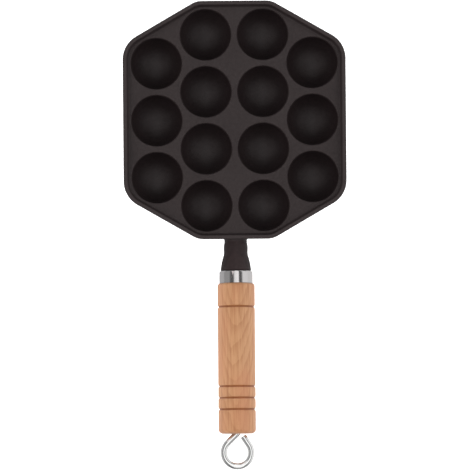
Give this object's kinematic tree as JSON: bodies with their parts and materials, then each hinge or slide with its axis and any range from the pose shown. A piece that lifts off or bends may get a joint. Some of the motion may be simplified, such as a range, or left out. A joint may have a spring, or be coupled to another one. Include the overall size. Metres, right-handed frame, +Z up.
{
  "type": "takoyaki pan",
  "caption": "Hand-held cast iron takoyaki pan: an elongated octagonal plate with a raised rim and hemispherical wells, a turned wood grip and a wire hanging eye.",
  "frame": {"origin": "under the middle of the whole object's box, on the surface that the cup bottoms stand on", "axes": "+Z up, +Y from the handle towards the plate's far end, +X to the right when seen from above with the handle below"},
  "size_m": [0.1736, 0.3648, 0.0426],
  "materials": {
    "seasoned_iron": "matte, fine cast grain",
    "polished_cap": "polished",
    "beech": "sanded and lightly oiled",
    "bright_wire": "bright plated"
  },
  "bodies": {
    "root": {"pan_casting": "seasoned_iron", "ferrule_cap": "polished_cap", "handle_grip": "beech", "eye_rod": "bright_wire"}
  },
  "joints": []
}
